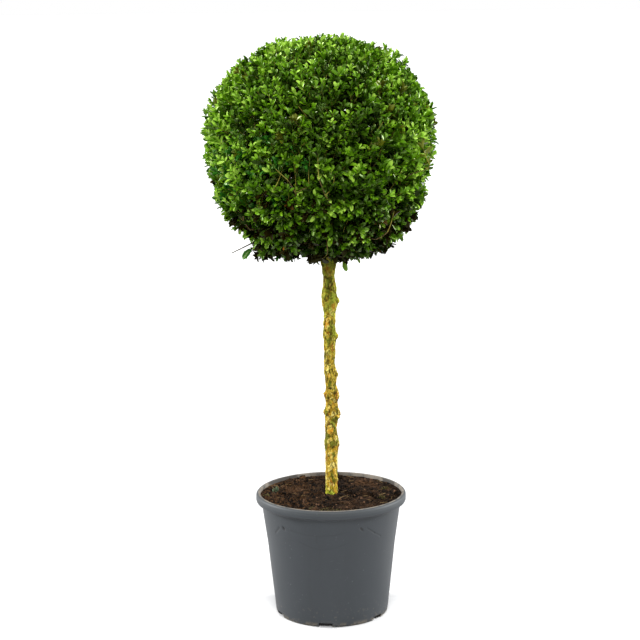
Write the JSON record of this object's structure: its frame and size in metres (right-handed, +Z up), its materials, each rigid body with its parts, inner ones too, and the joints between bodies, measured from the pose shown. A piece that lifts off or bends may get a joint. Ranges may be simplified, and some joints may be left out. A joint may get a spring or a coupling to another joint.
{
  "type": "potted lollipop topiary",
  "caption": "Clipped ball of small-leaved evergreen on one bare knobbly trunk, growing in soil in a round tapered nursery pot with a turned-down rim.",
  "frame": {"origin": "centre of the pot's flat underside, at the mount underside", "axes": "+Z up along the trunk, -Y towards the front, +X to the right as seen from the front"},
  "size_m": [0.432, 0.4404, 1.0939],
  "materials": {
    "pot": "matte",
    "soil": "matte",
    "bark": "matte",
    "foliage": "satin"
  },
  "bodies": {
    "root": {"pot": "pot", "soil": "soil", "trunk": "bark", "bough_leader": "bark", "bough_right": "bark", "bough_back": "bark", "bough_left": "bark", "bough_front": "bark", "crown": "foliage"}
  },
  "joints": []
}
